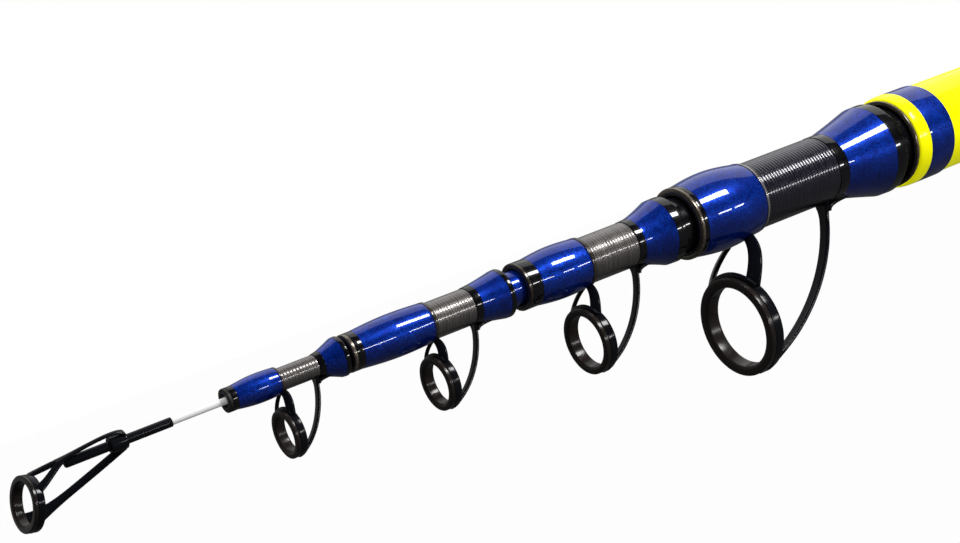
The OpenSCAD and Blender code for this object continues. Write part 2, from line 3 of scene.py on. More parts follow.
import bmesh
import bpy
import numpy as np
from mathutils import Matrix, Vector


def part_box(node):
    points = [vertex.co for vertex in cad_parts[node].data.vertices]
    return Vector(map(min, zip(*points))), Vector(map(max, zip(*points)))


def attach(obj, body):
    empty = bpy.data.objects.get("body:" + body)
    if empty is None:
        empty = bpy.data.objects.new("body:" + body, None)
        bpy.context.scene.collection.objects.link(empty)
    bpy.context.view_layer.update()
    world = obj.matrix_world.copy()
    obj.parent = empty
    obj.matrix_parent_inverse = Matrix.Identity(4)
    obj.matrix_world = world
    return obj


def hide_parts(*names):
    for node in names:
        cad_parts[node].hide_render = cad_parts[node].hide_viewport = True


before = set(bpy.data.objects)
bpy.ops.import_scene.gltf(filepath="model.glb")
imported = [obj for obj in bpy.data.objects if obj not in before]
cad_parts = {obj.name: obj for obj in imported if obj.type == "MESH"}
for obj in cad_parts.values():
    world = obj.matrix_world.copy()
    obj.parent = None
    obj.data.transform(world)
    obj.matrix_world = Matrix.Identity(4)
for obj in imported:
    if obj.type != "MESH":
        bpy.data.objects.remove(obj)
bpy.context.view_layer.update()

# Butt tube: a tapered tube of rolled fibre, sprayed fluorescent yellow and clear-coated.
# Its front edge is bevelled and closed by a thin bronze rim; a yellow band and a raised blue
# band of varnished thread stiffen the mouth.

mm = 0.001


def span(node):
    """Lowest and highest corner of a CAD node, in mm."""
    low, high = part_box(node)
    return np.array(low) / mm, np.array(high) / mm


def ends(node):
    """Rear and front station of a CAD node along the rod, in mm."""
    low, high = span(node)
    return low[0], high[0]


def rounded(corners, radius, steps=6):
    """Closed outline whose corners become quadratic curves: each one starts and ends at the
    given distance from its corner, at most 0.45 of the side there. Doubled points are dropped."""
    most, least_step = 0.45, 1e-5
    c = np.asarray(corners, float)
    reach = np.broadcast_to(radius, len(c)).astype(float)[:, None]
    back, on = np.roll(c, 1, 0) - c, np.roll(c, -1, 0) - c
    back_len = np.linalg.norm(back, axis=1, keepdims=True)
    on_len = np.linalg.norm(on, axis=1, keepdims=True)
    p = c + back / back_len * np.minimum(reach, most * back_len)
    q = c + on / on_len * np.minimum(reach, most * on_len)
    t = np.linspace(0, 1, steps)[None, :, None]
    curve = (1 - t) ** 2 * p[:, None] + 2 * t * (1 - t) * c[:, None] + t * t * q[:, None]
    line = curve.reshape(-1, 2)
    return line[np.linalg.norm(line - np.roll(line, 1, 0), axis=1) > least_step]


def turned(outline, around, half=None, tilt=0.0, at=0.0, drop=0.0):
    """Closed outline of (station, radius) in mm carried round the X axis:
    point = (s, r sin a, -r cos a), a over a full turn, or over +-half degrees from below with
    flat ends. tilt turns it about Y in degrees, then it moves to station at and down by drop."""
    s, r = np.asarray(outline, float).T
    whole = half is None
    first, last = (0, 360) if whole else (-half, half)
    a = np.radians(np.linspace(first, last, around, endpoint=not whole))
    x = np.broadcast_to(s[:, None], (len(s), around))
    y, z = r[:, None] * np.sin(a), -r[:, None] * np.cos(a)
    c, k = np.cos(np.radians(tilt)), np.sin(np.radians(tilt))
    points = np.stack([c * x - k * z + at, y, k * x + c * z - drop], -1).reshape(-1, 3)
    i = np.arange(len(s))[:, None]
    j = np.arange(around if whole else around - 1)[None]
    row, next_row, next_j = i * around, (i + 1) % len(s) * around, (j + 1) % around
    quads = np.stack([row + j, next_row + j, next_row + next_j, row + next_j], -1)
    faces = quads.reshape(-1, 4).tolist()
    if not whole:
        faces += [list(range(0, len(points), around)), list(range(around - 1, len(points), around))]
    return points, faces


def ring(corners, edges, around, steps=6, **moved):
    """Outline with its corners rounded by edges, carried round the X axis."""
    return turned(rounded(corners, edges, steps), around, **moved)


def piece(name, body, material, shells, nodes=(), crease=40):
    """One object from closed shells of points in mm and faces. Doubles are merged, faces turned
    outwards, and edges sharper than crease degrees stay sharp under smooth shading."""
    merge_gap = 1e-7
    solid = bmesh.new()
    for points, faces in shells:
        shell = bpy.data.meshes.new(name)
        shell.from_pydata((points * mm).tolist(), [], faces)
        solid.from_mesh(shell)
        bpy.data.meshes.remove(shell)
    bmesh.ops.remove_doubles(solid, verts=solid.verts, dist=merge_gap)
    bmesh.ops.recalc_face_normals(solid, faces=solid.faces)
    mesh = bpy.data.meshes.new(name)
    solid.to_mesh(mesh)
    solid.free()
    mesh.shade_smooth()
    mesh.set_sharp_from_angle(angle=np.radians(crease))
    mesh.materials.append(material)
    made = bpy.data.objects.new(name, mesh)
    bpy.context.scene.collection.objects.link(made)
    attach(made, body)
    if nodes:
        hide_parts(*nodes)
    return made


def add(tree, kind, sockets, **settings):
    """New shader node; sockets maps an input's name or number to a value or to an output."""
    made = tree.nodes.new("ShaderNode" + kind)
    for key, value in settings.items():
        setattr(made, key, value)
    for key, value in sockets.items():
        if isinstance(value, bpy.types.NodeSocket):
            tree.links.new(value, made.inputs[key])
        else:
            made.inputs[key].default_value = value
    return made


def maths(tree, operation, *values):
    """Output of a Math node on values or outputs."""
    return add(tree, "Math", dict(enumerate(values)), operation=operation).outputs[0]


def ranged(tree, value, low, high, start=0.0, stop=1.0):
    """Output that goes from low to high while the value goes from start to stop, held beyond."""
    limits = {"From Min": start, "From Max": stop, "To Min": low, "To Max": high}
    return add(tree, "MapRange", {"Value": value, **limits}).outputs["Result"]


def blended(tree, share, deep, bright):
    """Output colour between deep and bright by a share from 0 to 1."""
    return add(tree, "Mix", {0: share, 6: (*deep, 1), 7: (*bright, 1)}, data_type="RGBA").outputs[2]


def group(name, inputs, outputs):
    """Empty node group with float sockets; returns its tree, its input and its output node."""
    tree = bpy.data.node_groups.new(name, "ShaderNodeTree")
    for key in inputs:
        tree.interface.new_socket(key, in_out="INPUT", socket_type="NodeSocketFloat")
    for key in outputs:
        tree.interface.new_socket(key, in_out="OUTPUT", socket_type="NodeSocketFloat")
    return tree, tree.nodes.new("NodeGroupInput"), tree.nodes.new("NodeGroupOutput")


def place(tree, shared, sockets):
    """Node group placed in a material's tree with its own values."""
    made = add(tree, "Group", {}, node_tree=shared)
    for key, value in sockets.items():
        made.inputs[key].default_value = value
    return made


def finish(name, sockets):
    """New material with a Principled shader and its plain values; returns material, tree, shader."""
    made = bpy.data.materials.new(name)
    made.use_nodes = True
    shader = made.node_tree.nodes["Principled BSDF"]
    for key, value in sockets.items():
        shader.inputs[key].default_value = value
    return made, made.node_tree, shader


def wire(tree, shader, outputs):
    """Outputs led into the Principled shader's inputs of these names."""
    for key, output in outputs.items():
        tree.links.new(output, shader.inputs[key])


# Metal flake in lacquer: one random brightness for each cell, cells 1/Grain metres wide, over a
# slow cloud of noise, because sprayed flake lies thicker in some places.
flake, flake_in, flake_out = group("metal_flake", ["Grain"], ["Flake", "Cloud"])
where = add(flake, "TexCoord", {}).outputs["Object"]
cells = add(flake, "TexVoronoi", {"Vector": where, "Scale": flake_in.outputs["Grain"]})
cloud = add(flake, "TexNoise", {"Vector": where, "Scale": 260.0, "Detail": 3.0})
one = add(flake, "SeparateColor", {"Color": cells.outputs["Color"]})
flake.links.new(one.outputs["Red"], flake_out.inputs["Flake"])
flake.links.new(cloud.outputs["Fac"], flake_out.inputs["Cloud"])

# Brushed-on epoxy: a slow ripple that bends reflections, and small patches of handling haze.
epoxy, epoxy_in, epoxy_out = group("epoxy_coat", ["Ripple"], ["Height", "Haze"])
where = add(epoxy, "TexCoord", {}).outputs["Object"]
wave = add(epoxy, "TexNoise", {"Vector": where, "Scale": epoxy_in.outputs["Ripple"], "Detail": 1.0})
haze = add(epoxy, "TexNoise", {"Vector": where, "Scale": 900.0, "Detail": 4.0})
hazy = ranged(epoxy, haze.outputs["Fac"], 0.0, 1.0, start=0.35, stop=0.75)
epoxy.links.new(wave.outputs["Fac"], epoxy_out.inputs["Height"])
epoxy.links.new(hazy, epoxy_out.inputs["Haze"])


def lacquer(name, deep, bright, grain, ripple, gloss, plain):
    """Flaked lacquer under epoxy: colour between deep and bright by flake and cloud, and the
    roughness of the flake layer between the two values of gloss by handling haze."""
    made, tree, shader = finish(name, plain)
    speck = place(tree, flake, {"Grain": grain})
    coat = place(tree, epoxy, {"Ripple": ripple})
    both = maths(tree, "MULTIPLY", speck.outputs["Flake"], speck.outputs["Cloud"])
    bump = add(tree, "Bump", {"Height": coat.outputs["Height"], "Strength": 0.12, "Distance": 0.0006})
    wire(tree, shader, {"Base Color": blended(tree, both, deep, bright),
                        "Roughness": ranged(tree, coat.outputs["Haze"], *gloss),
                        "Normal": bump.outputs["Normal"]})
    return made


# The yellow lacquer's emission is painted light: a glow that keeps the yellow bright on its shaded underside.
yellow = lacquer("yellow_lacquer", (0.9, 0.84, 0.0), (1.0, 1.0, 0.01), 3000, 120, (0.15, 0.3),
                 {"Coat Weight": 0.3, "Coat Roughness": 0.03, "Specular IOR Level": 0.1,
                  "Emission Color": (0.85, 0.85, 0.0, 1), "Emission Strength": 0.5})
blue = lacquer("blue_lacquer", (0.0, 0.007, 0.14), (0.003, 0.085, 0.8), 4200, 90, (0.32, 0.42),
               {"Coat Weight": 1.0, "Coat Roughness": 0.02, "Specular IOR Level": 0.1, "Metallic": 0.55})
# A darker copy of the bronze for section 3's mouth ring: painted shade.
shaded_bronze = lacquer("shaded_bronze", (0.02, 0.015, 0.011), (0.11, 0.088, 0.068), 5000, 200, (0.2, 0.35),
                      {"Coat Weight": 0.6, "Coat Roughness": 0.04, "Metallic": 0.5})
bronze = lacquer("bronze_lacquer", (0.1, 0.08, 0.06), (0.42, 0.36, 0.29), 5000, 200, (0.2, 0.35),
                 {"Coat Weight": 0.6, "Coat Roughness": 0.04, "Metallic": 0.6})

glue = 0.04
butt_rear_r, butt_tip_r, butt_wall = 14.0, 12.5, 1.6
tube_x, rim_x = ends("butt_blank")
mouth_0 = ends("butt_rim")[1]
yellow_a, yellow_b = ends("butt_yellow_band")
blue_a, blue_b = ends("butt_blue_band")
bevel, band_t, band_lip, band_round, thread_gap = 0.45, 0.4, 0.1, 0.7, 3 * glue
butt_taper = (butt_rear_r - butt_tip_r) / (mouth_0 - tube_x)


def butt_skin(x):
    """Outside radius of the butt tube at a station."""
    return butt_tip_r + butt_taper * (mouth_0 - x)


bore, bevel_r = butt_tip_r - butt_wall, butt_tip_r - bevel
piece("butt_tube", "butt", yellow, [ring([
    [tube_x, butt_rear_r - butt_wall], [tube_x, butt_rear_r], [yellow_a, butt_skin(yellow_a)],
    [rim_x, bevel_r], [rim_x, bore]], 0.15, 192)], ["butt_blank"])
piece("butt_mouth_rim", "butt", bronze, [ring([
    [rim_x + glue, bore], [rim_x + glue, bevel_r], [mouth_0, bevel_r], [mouth_0, bore]],
    [0.02, 0.1, 0.3, 0.3], 192)], ["butt_rim"])
turn = np.radians(np.linspace(0, 90, 24))
band_rise = butt_skin(yellow_a) + band_t - bevel_r - band_lip
dome = np.stack([yellow_a + (yellow_b - yellow_a) * np.sin(turn),
                 bevel_r + band_lip + band_rise * np.cos(turn) ** band_round], -1)
under = [[yellow_b, bevel_r + glue], [yellow_a, butt_skin(yellow_a) + glue]]
piece("butt_front_band", "butt", yellow, [turned(np.concatenate([under, dome]), 192)],
      ["butt_yellow_band"])
piece("butt_thread_band", "butt", blue, [ring([
    [blue_a, butt_skin(blue_a) + thread_gap], [blue_a, butt_skin(blue_a) + band_t],
    [blue_b, butt_skin(blue_b) + band_t], [blue_b, butt_skin(blue_b) + thread_gap]],
    [0.05, 0.6, 0.12, 0.05], 192)], ["butt_blue_band"])

# Grips: two sleeves of closed-cell foam, ground to size and slid on with glue, with fine pores.
# A polished aluminium winding check closes the front end of each one.

grain, grain_in, grain_out = group("fine_grain", ["Scale"], ["Height", "Shade"])
where = add(grain, "TexCoord", {}).outputs["Object"]
pores = add(grain, "TexVoronoi", {"Vector": where, "Scale": grain_in.outputs["Scale"]})
mottle = add(grain, "TexNoise", {"Vector": where, "Scale": 70.0, "Detail": 6.0})
grain.links.new(pores.outputs["Distance"], grain_out.inputs["Height"])
grain.links.new(mottle.outputs["Fac"], grain_out.inputs["Shade"])


def grained(name, deep, bright, scale, strength, rough, plain):
    """Plain moulded or foamed stuff: fine grain as bump, slow mottling in colour and gloss."""
    made, tree, shader = finish(name, plain)
    fine = place(tree, grain, {"Scale": scale})
    shade, spread = fine.outputs["Shade"], 0.08
    bump = add(tree, "Bump", {"Height": fine.outputs["Height"], "Strength": strength, "Distance": 0.0003})
    wire(tree, shader, {"Base Color": blended(tree, shade, deep, bright),
                        "Roughness": ranged(tree, shade, rough - spread, rough + spread),
                        "Normal": bump.outputs["Normal"]})
    return made


foam = grained("grip_foam", (0.012, 0.012, 0.013), (0.04, 0.04, 0.042), 2600, 0.6, 0.85,
               {"Specular IOR Level": 0.25})
alloy = grained("turned_alloy", (0.5, 0.5, 0.52), (0.72, 0.72, 0.74), 900, 0.05, 0.28, {"Metallic": 1.0})
grip_edge = 2.4
check_w, check_rise, check_land, check_slope, check_lip = 2.4, 1.8, 1.44, 0.2, 0.6
checks = []
for node in ("rear_grip", "fore_grip"):
    low, high = span(node)
    rear, front, grip_r = low[0], high[0], high[1]
    piece(node + "_foam", "butt", foam, [ring([
        [rear, butt_skin(rear) + glue], [rear, grip_r], [front, grip_r], [front, butt_skin(front) + glue]],
        [0.1, grip_edge, grip_edge, 0.1], 160, 10)], [node])
    x, r = front + glue, butt_skin(front + glue)
    checks.append(ring([
        [x, r + glue], [x, r + check_rise], [x + check_land, r + check_rise - check_slope],
        [x + check_w, r + check_lip], [x + check_w, r + glue]], 0.2, 160))
piece("winding_check_rings", "butt", alloy, checks, ["winding_checks"])

# Screw reel seat: a moulded barrel with a thread, a fixed hood glued on its rear end, a hood
# that slides in a groove, and a knurled nut that pushes it. All are glass-filled black nylon.

satin = grained("satin_nylon", (0.012, 0.012, 0.013), (0.022, 0.022, 0.024), 5200, 0.18, 0.42, {})


def smooth_copy(node, body, material, crease=32):
    """The CAD node's own triangles with shared corners, so that it shades smoothly."""
    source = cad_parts[node].data
    points = np.zeros(len(source.vertices) * 3)
    source.vertices.foreach_get("co", points)
    corners = np.zeros(len(source.loops), int)
    source.loops.foreach_get("vertex_index", corners)
    shell = (points.reshape(-1, 3) / mm, corners.reshape(-1, 3).tolist())
    return piece(node + "_moulding", body, material, [shell], [node], crease)


smooth_copy("seat_barrel", "butt", satin)
smooth_copy("fixed_hood", "butt", satin)
smooth_copy("sliding_hood", "hood", satin)
smooth_copy("lock_nut", "nut", satin)

# Butt end: an aluminium bush glued in the tube takes the screw cap, which carries a rubber pad
# outside and a foam cushion inside; a rubber ring seals it.

rubber = grained("black_rubber", (0.008, 0.008, 0.008), (0.02, 0.02, 0.02), 1800, 0.25, 0.75,
                 {"Specular IOR Level": 0.3})
cushion = grained("cushion_foam", (0.17, 0.17, 0.18), (0.3, 0.3, 0.31), 1500, 0.7, 0.9, {})
smooth_copy("butt_cap", "cap", satin)


def cap_disc(name, material, node, edges, steps):
    """Round disc on the cap, as long and as wide as its CAD node, with rounded rims."""
    low, high = span(node)
    piece(name, "cap", material, [ring([
        [low[0], 0], [low[0], high[1]], [high[0], high[1]], [high[0], 0]], edges, 128, steps)], [node])


cap_disc("cap_rubber_pad", rubber, "cap_pad", [0, 1.6, 0.1, 0], 10)
cap_disc("cap_foam_cushion", cushion, "cap_cushion", [0, 0.1, 0.7, 0], 8)
low, high = span("seal")
seal_x, seal_r = (low[0] + high[0]) / 2, (high[0] - low[0]) / 2
turn = np.linspace(0, 2 * np.pi, 24, endpoint=False)
seal_line = np.stack([seal_x + seal_r * np.cos(turn), high[1] - seal_r + seal_r * np.sin(turn)], -1)
piece("seal_ring", "seal", rubber, [turned(seal_line, 128)], ["seal"])
low, high = span("butt_bush")
spigot_gap_r = 11.75
piece("butt_bush_ring", "butt", alloy, [ring([
    [low[0], spigot_gap_r], [low[0], high[1]], [high[0], high[1] - butt_taper * (high[0] - low[0])],
    [high[0], spigot_gap_r]], 0.15, 128)], ["butt_bush"])

# Section tubes: four tapered fibre tubes in flaked blue under clear coat. Each one's base jams
# in the bore of the tube behind it when drawn out. A glued ring closes its mouth, bronze on the
# first three and black on the thinnest; section 3's bronze is drawn darker as painted shade.

thin_r = [butt_tip_r, 8.2, 5.2, 3.95, 2.1, 0.75]
tube_wall = [butt_wall, 0.7, 0.6, 0.55, 0.5]
jam_len, jam_gap = 70.0, 0.04
sections = ["section_2", "section_3", "section_4", "section_5"]
base_x, tip_x = ends("tip_blank")
far = [mouth_0] + [ends(name + "_blank")[1] for name in sections] + [tip_x]
tapers, base_r = [butt_taper], [butt_rear_r]
for j in range(1, len(far)):
    jam_end_r = thin_r[j - 1] - tube_wall[j - 1] - jam_gap
    base_r.append(jam_end_r + tapers[j - 1] * jam_len)
    tapers.append((jam_end_r - thin_r[j]) / (far[j] - base_x - jam_len))


def skin(j, x):
    """Outside radius of tube j at a station in front of its jam length."""
    return thin_r[j] + tapers[j] * (far[j] - x)


def line_bore(made, material):
    """Second material on the faces that look towards the rod's axis or straight along it: the
    bare bore and the two cut ends."""
    least_inward, least_endwise = 0.0005, 0.8
    count = len(made.data.polygons)
    middle, outward = np.zeros(count * 3), np.zeros(count * 3)
    made.data.polygons.foreach_get("center", middle)
    made.data.polygons.foreach_get("normal", outward)
    outward = outward.reshape(-1, 3)
    inside = (middle.reshape(-1, 3)[:, 1:] * outward[:, 1:]).sum(1) < -least_inward
    bare = inside | (np.abs(outward[:, 0]) > least_endwise)
    made.data.materials.append(material)
    made.data.polygons.foreach_set("material_index", bare.astype(np.int32))


bare_fibre = grained("bare_fibre", (0.006, 0.006, 0.007), (0.016, 0.016, 0.018), 2200, 0.2, 0.5, {})
line_bore(bpy.data.objects["butt_tube"], bare_fibre)
rim_t = [1.2, 0.65, 0.5, 0.6]
# Section 3's entry is the darker bronze copy, painted shade; the others are the rings' own colours.
mouth_coat_and_shade = [bronze, shaded_bronze, bronze, bare_fibre]
for i, name in enumerate(sections):
    j = i + 1
    hole = thin_r[j] - tube_wall[j]
    tube = piece(name + "_tube", name, blue, [ring([
        [base_x, hole + tapers[j] * (far[j] - base_x)], [base_x, base_r[j]],
        [base_x + jam_len, base_r[j] - tapers[j - 1] * jam_len], [far[j], thin_r[j]], [far[j], hole]],
        [0.1, 0.2, 0, 0.1, 0.1], 144)], [name + "_blank"])
    line_bore(tube, bare_fibre)
    rear, front = ends(name + "_mouth_ring")
    rim_r = thin_r[j] + rim_t[i]
    piece(name + "_mouth_line", name, mouth_coat_and_shade[i], [ring([
        [rear, skin(j, rear) + glue], [rear, rim_r], [front, rim_r], [front, thin_r[j] + glue]],
        [0.02, 0.12, 0.3, 0.1], 160)], [name + "_mouth_ring"])

# Collars of each section, built up from thread and epoxy over the guide's feet: a blue bell with
# its neck in the mouth behind and a black stop rim, black trim bands, a bare thread wrap, and a
# domed blue front collar with a thin tie of thread behind it.

black = lacquer("black_lacquer", (0.001, 0.001, 0.002), (0.008, 0.008, 0.012), 4200, 110, (0.2, 0.35),
                {"Coat Weight": 1.0, "Coat Roughness": 0.02, "Specular IOR Level": 0.1})

# Wound thread: turns lie side by side along X; each one is a half round, 1 - 4 (part - 0.5)^2,
# with its own shade.
winding, winding_in, winding_out = group("thread_winding", ["Pitch"], ["Height", "Turn"])
where = add(winding, "TexCoord", {}).outputs["Object"]
axes = add(winding, "SeparateXYZ", {"Vector": where})
count = maths(winding, "DIVIDE", axes.outputs["X"], winding_in.outputs["Pitch"])
centred = maths(winding, "SUBTRACT", maths(winding, "FRACT", count), 0.5)
square = maths(winding, "MULTIPLY", centred, centred)
round_top = maths(winding, "MULTIPLY_ADD", square, -4.0, 1.0)
shade = add(winding, "TexWhiteNoise", {"W": maths(winding, "FLOOR", count)}, noise_dimensions="1D")
winding.links.new(round_top, winding_out.inputs["Height"])
winding.links.new(shade.outputs["Value"], winding_out.inputs["Turn"])


def thread(name, deep, bright, pitch, gloss, plain):
    """Wound thread soaked in thin epoxy: half-round turns as bump, each turn its own tone. The colour
    is also deep in the groove between turns and bright on each crown: painted shade.
    """
    made, tree, shader = finish(name, plain)
    wound = place(tree, winding, {"Pitch": pitch})
    coat = place(tree, epoxy, {"Ripple": 500})
    even = ranged(tree, wound.outputs["Turn"], 0.65, 1.0)
    # The colour follows each turn's half round: painted shade in the groove between turns, lighter on the
    # crown.
    share = maths(tree, "MULTIPLY", even, wound.outputs["Height"])
    bump = add(tree, "Bump", {"Height": wound.outputs["Height"], "Strength": 0.4, "Distance": 0.00005})
    wire(tree, shader, {"Base Color": blended(tree, share, deep, bright),
                        "Roughness": ranged(tree, coat.outputs["Haze"], *gloss),
                        "Normal": bump.outputs["Normal"]})
    return made


dark_thread = thread("dark_thread", (0.002, 0.002, 0.006), (0.034, 0.03, 0.052), 0.00048, (0.2, 0.34),
                     {"Coat Weight": 0.8, "Coat Roughness": 0.03, "Metallic": 0.4})
grey_thread = thread("grey_thread", (0.02, 0.018, 0.018), (0.24, 0.22, 0.21), 0.0004, (0.3, 0.4),
                     {"Coat Weight": 1.0, "Coat Roughness": 0.05, "Metallic": 0.6})
bright_tie = thread("bright_tie", (0.12, 0.11, 0.1), (0.42, 0.4, 0.37), 0.0003, (0.15, 0.3),
                    {"Coat Weight": 0.5, "Coat Roughness": 0.05, "Metallic": 0.5})
brown_tie = thread("brown_tie", (0.012, 0.01, 0.008), (0.075, 0.06, 0.045), 0.0003, (0.15, 0.3),
                   {"Coat Weight": 0.5, "Coat Roughness": 0.05, "Metallic": 0.3})

stop_r, stop_slope, stop_walls = [12.5, 8.5, 5.95, 4.65], 0.1, 1.1
bell_curve = [1.1, 1.3, 1.2, 1.1]
neck_t, neck_gap = [0.6, 0.7, 0.75, 0.85], 0.01
# The necks are blue like the bells; those of sections 2, 3 and 5 are drawn black as painted shade in the
# recess of the mouth behind.
neck_blue_and_painted_shade = [black, black, blue, black]
plug_len, plug_gap, plug_end_t, plug_lead, plug_lead_t, plug_full = 12.0, 0.4, 0.3, 2.0, 0.9, 3.0
wrap_t, wrap_step, trim_rise = [0.5, 0.5, 0.45, 0.45], 0.08, 0.1
wrap_coat = [dark_thread, grey_thread, grey_thread, grey_thread]
ridge_pitch, ridge_h = [0.96, 0.86, 0.8, 0.8], [0.09, 0.065, 0.045, 0.025]
barrel_t, bulge = [1.15, 1.05, 0.85, 1.0], [1.0, 0.5, 0.45, 0.35]
shoulder_len, shoulder_dip = 0.6, 0.02
tie_w, tie_gap, tie_slope = [0.8, 1.2, 1.0, 0.6], 0.02, 0.12
tie_coat = [bright_tie, brown_tie, brown_tie, brown_tie]
for i, name in enumerate(sections):
    j = i + 1
    stop_a, stop_b = ends(name + "_stop_rim")
    bell_a, trim_x = stop_b + glue, ends(name + "_bell")[1]
    wrap_a, wrap_b = ends(name + "_thread_wrap")
    barrel_a, barrel_b = ends(name + "_front_collar")
    ring_a = ends(name + "_mouth_ring")[0]
    plug_x, plug_r = far[i] - plug_len, thin_r[i] - tube_wall[i] - plug_gap
    stop_in, narrow = stop_r[i] - stop_walls * neck_t[i], skin(j, trim_x) + neck_t[i]

    # The bell narrows from the stop by (1 - u)^curve; its neck fills the mouth behind.
    u = np.linspace(0, 1, 40)
    flare = narrow + (stop_r[i] - stop_slope - narrow) * (1 - u) ** bell_curve[i]
    outline = np.concatenate([[[bell_a, skin(j, bell_a) + glue]],
                              np.stack([bell_a + (trim_x - bell_a) * u, flare], -1),
                              [[trim_x, skin(j, trim_x) + glue]]])
    piece(name + "_bell_collar", name, blue, [turned(outline, 192)], [name + "_bell"], 50)
    plug_skin = skin(j, plug_x)
    # The neck's colour: blue on section 4, black painted shade on the others.
    piece(name + "_bell_neck", name, neck_blue_and_painted_shade[i], [turned([
        [plug_x, plug_skin + plug_end_t], [plug_x + plug_lead, min(plug_r, plug_skin + plug_lead_t)],
        [far[i] - plug_full, plug_r], [stop_a - glue, plug_r], [stop_a - glue, stop_in],
        [bell_a - neck_gap, stop_in], [bell_a - neck_gap, skin(j, bell_a) + glue],
        [plug_x, plug_skin + glue]], 160)], [name + "_bell"])
    piece(name + "_stop_band", name, black, [ring([
        [stop_a, stop_in + glue], [stop_a, stop_r[i]], [stop_b, stop_r[i] - stop_slope],
        [stop_b, stop_in + glue]], [0.05, 0.45, 0.12, 0.05], 192)], [name + "_stop_rim"])

    # Trim bands, one between bell and wrap and one between front collar and mouth ring.
    rear, front = trim_x + glue, wrap_a - glue
    bell_trim = ring([
        [rear, skin(j, trim_x) + glue], [rear, narrow], [front, skin(j, wrap_a) + wrap_t[i] + trim_rise],
        [front, skin(j, wrap_a) + glue]], [0.05, 0.05, 0.2, 0.05], 176)
    rear, front = barrel_b + glue, ring_a - glue
    mouth_trim = ring([
        [rear, skin(j, barrel_b) + glue], [rear, thin_r[j] + rim_t[i]], [front, skin(j, ring_a) + rim_t[i]],
        [front, skin(j, ring_a) + glue]], 0.05, 176)
    piece(name + "_trim_rings", name, black, [bell_trim, mouth_trim], [name + "_trim_bands"])

    # The wrap's top is a row of parabolas, one for each ridge of thread.
    x = np.linspace(wrap_a, wrap_b, int((wrap_b - wrap_a) / wrap_step))
    ridge = 2 * ((x - wrap_a) / ridge_pitch[i] % 1) - 1
    top = np.stack([x, skin(j, x) + wrap_t[i] - ridge_h[i] * ridge ** 2], -1)
    under = [[wrap_b, skin(j, wrap_b) + glue], [wrap_a, skin(j, wrap_a) + glue]]
    piece(name + "_wrap", name, wrap_coat[i], [turned(np.concatenate([top, under]), 144)],
          [name + "_thread_wrap"], 60)

    # The front collar's dome is a straight line plus bulge times a half sine, with a round shoulder.
    u = np.linspace(0, 1, 48)
    dome = thin_r[j] + barrel_t[i] + (rim_t[i] - barrel_t[i]) * u + bulge[i] * np.sin(np.pi * u)
    from_shoulder = np.clip(1 - u * (barrel_b - barrel_a) / shoulder_len, 0, 1)
    top = np.stack([barrel_a + (barrel_b - barrel_a) * u, dome * (1 - shoulder_dip * from_shoulder ** 3)], -1)
    under = [[barrel_b, skin(j, barrel_b) + glue], [barrel_a, skin(j, barrel_a) + glue]]
    piece(name + "_domed_collar", name, blue, [turned(np.concatenate([top, under]), 192)],
          [name + "_front_collar"], 50)
    tie_r, tie_under = skin(j, barrel_a) + barrel_t[i] + tie_gap, skin(j, barrel_a) + glue
    rear, front = barrel_a - tie_w[i], barrel_a - tie_gap
    piece(name + "_collar_tie", name, tie_coat[i], [ring([
        [rear, tie_under], [rear, tie_r - tie_slope], [front, tie_r], [front, tie_under]],
        [0.02, 0.2, 0.2, 0.02], 160)])

# Line guides: each frame is pressed and bent from one stainless sheet and plated gloss black: a
# holder ring, two struts that lean back to the front foot, and a long rear leg that bends back
# into its foot. A ceramic ring with a flat face and a polished bore is pressed into the holder.


def plated(name, deep, bright, gloss):
    """Black gloss plating: near black with a faint blue, worn a little along its slow mottling."""
    made, tree, shader = finish(name, {"Specular IOR Level": 0.22})
    shade = place(tree, grain, {"Scale": 3000}).outputs["Shade"]
    wire(tree, shader, {"Base Color": blended(tree, shade, deep, bright),
                        "Roughness": ranged(tree, shade, *gloss)})
    return made


frame_black = plated("guide_plating", (0.002, 0.002, 0.003), (0.01, 0.011, 0.015), (0.08, 0.2))
ceramic = grained("guide_ceramic", (0.012, 0.009, 0.008), (0.026, 0.02, 0.018), 7000, 0.02, 0.2,
                  {"Specular IOR Level": 0.3})


def cubic(a, b, c, d, count):
    """Points of the cubic curve from a to d with handles b and c."""
    t = np.linspace(0, 1, count)[:, None]
    a, b, c, d = (np.asarray(p, float) for p in (a, b, c, d))
    return (1 - t) ** 3 * a + 3 * (1 - t) ** 2 * t * b + 3 * (1 - t) * t * t * c + t ** 3 * d


